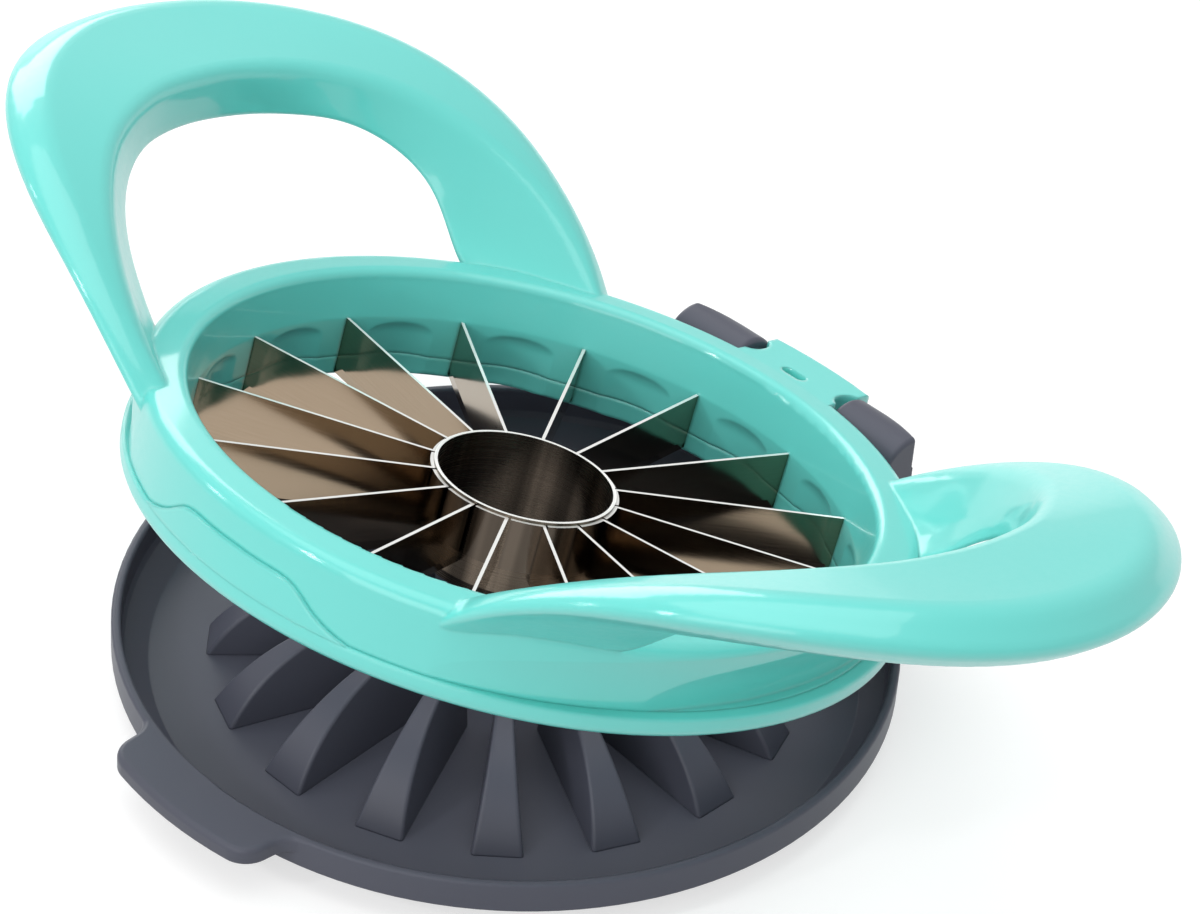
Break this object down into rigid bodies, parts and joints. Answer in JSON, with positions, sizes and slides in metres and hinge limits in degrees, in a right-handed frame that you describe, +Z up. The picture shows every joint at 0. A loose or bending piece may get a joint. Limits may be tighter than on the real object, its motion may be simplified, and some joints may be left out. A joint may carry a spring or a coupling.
{
  "type": "hinged apple slicer press",
  "caption": "Two-handled ring of thin radial blades round a core tube, hinged over a round ribbed tray that pushes the wedges through.",
  "frame": {"origin": "centre of the tray's flat underside", "axes": "+Z up, hinge on the +Y side, lift tab on the -Y side, handles along +X and -X"},
  "size_m": [0.2024, 0.1361, 0.0757],
  "materials": {
    "tray_plastic": "satin",
    "frame_plastic": "gloss",
    "steel": "polished"
  },
  "bodies": {
    "base": {"base_tray": "tray_plastic", "hinge_pin": "steel", "core_post": "tray_plastic", "push_rib_01": "tray_plastic", "push_rib_02": "tray_plastic", "push_rib_03": "tray_plastic", "push_rib_04": "tray_plastic", "push_rib_05": "tray_plastic", "push_rib_06": "tray_plastic", "push_rib_07": "tray_plastic", "push_rib_08": "tray_plastic", "push_rib_09": "tray_plastic", "push_rib_10": "tray_plastic", "push_rib_11": "tray_plastic", "push_rib_12": "tray_plastic", "push_rib_13": "tray_plastic", "push_rib_14": "tray_plastic", "push_rib_15": "tray_plastic", "push_rib_16": "tray_plastic"},
    "cutter": {"cutter_frame": "frame_plastic", "blade_retaining_ring": "frame_plastic", "corer_tube": "steel", "blade_01": "steel", "blade_02": "steel", "blade_03": "steel", "blade_04": "steel", "blade_05": "steel", "blade_06": "steel", "blade_07": "steel", "blade_08": "steel", "blade_09": "steel", "blade_10": "steel", "blade_11": "steel", "blade_12": "steel", "blade_13": "steel", "blade_14": "steel", "blade_15": "steel", "blade_16": "steel"}
  },
  "joints": [
    {"name": "cutter_hinge", "type": "hinge", "parent": "base", "child": "cutter", "pos_m": [0, 0.062, 0.0212], "axis": [-1, 0, 0], "range_deg": [-14.68, 105]}
  ]
}
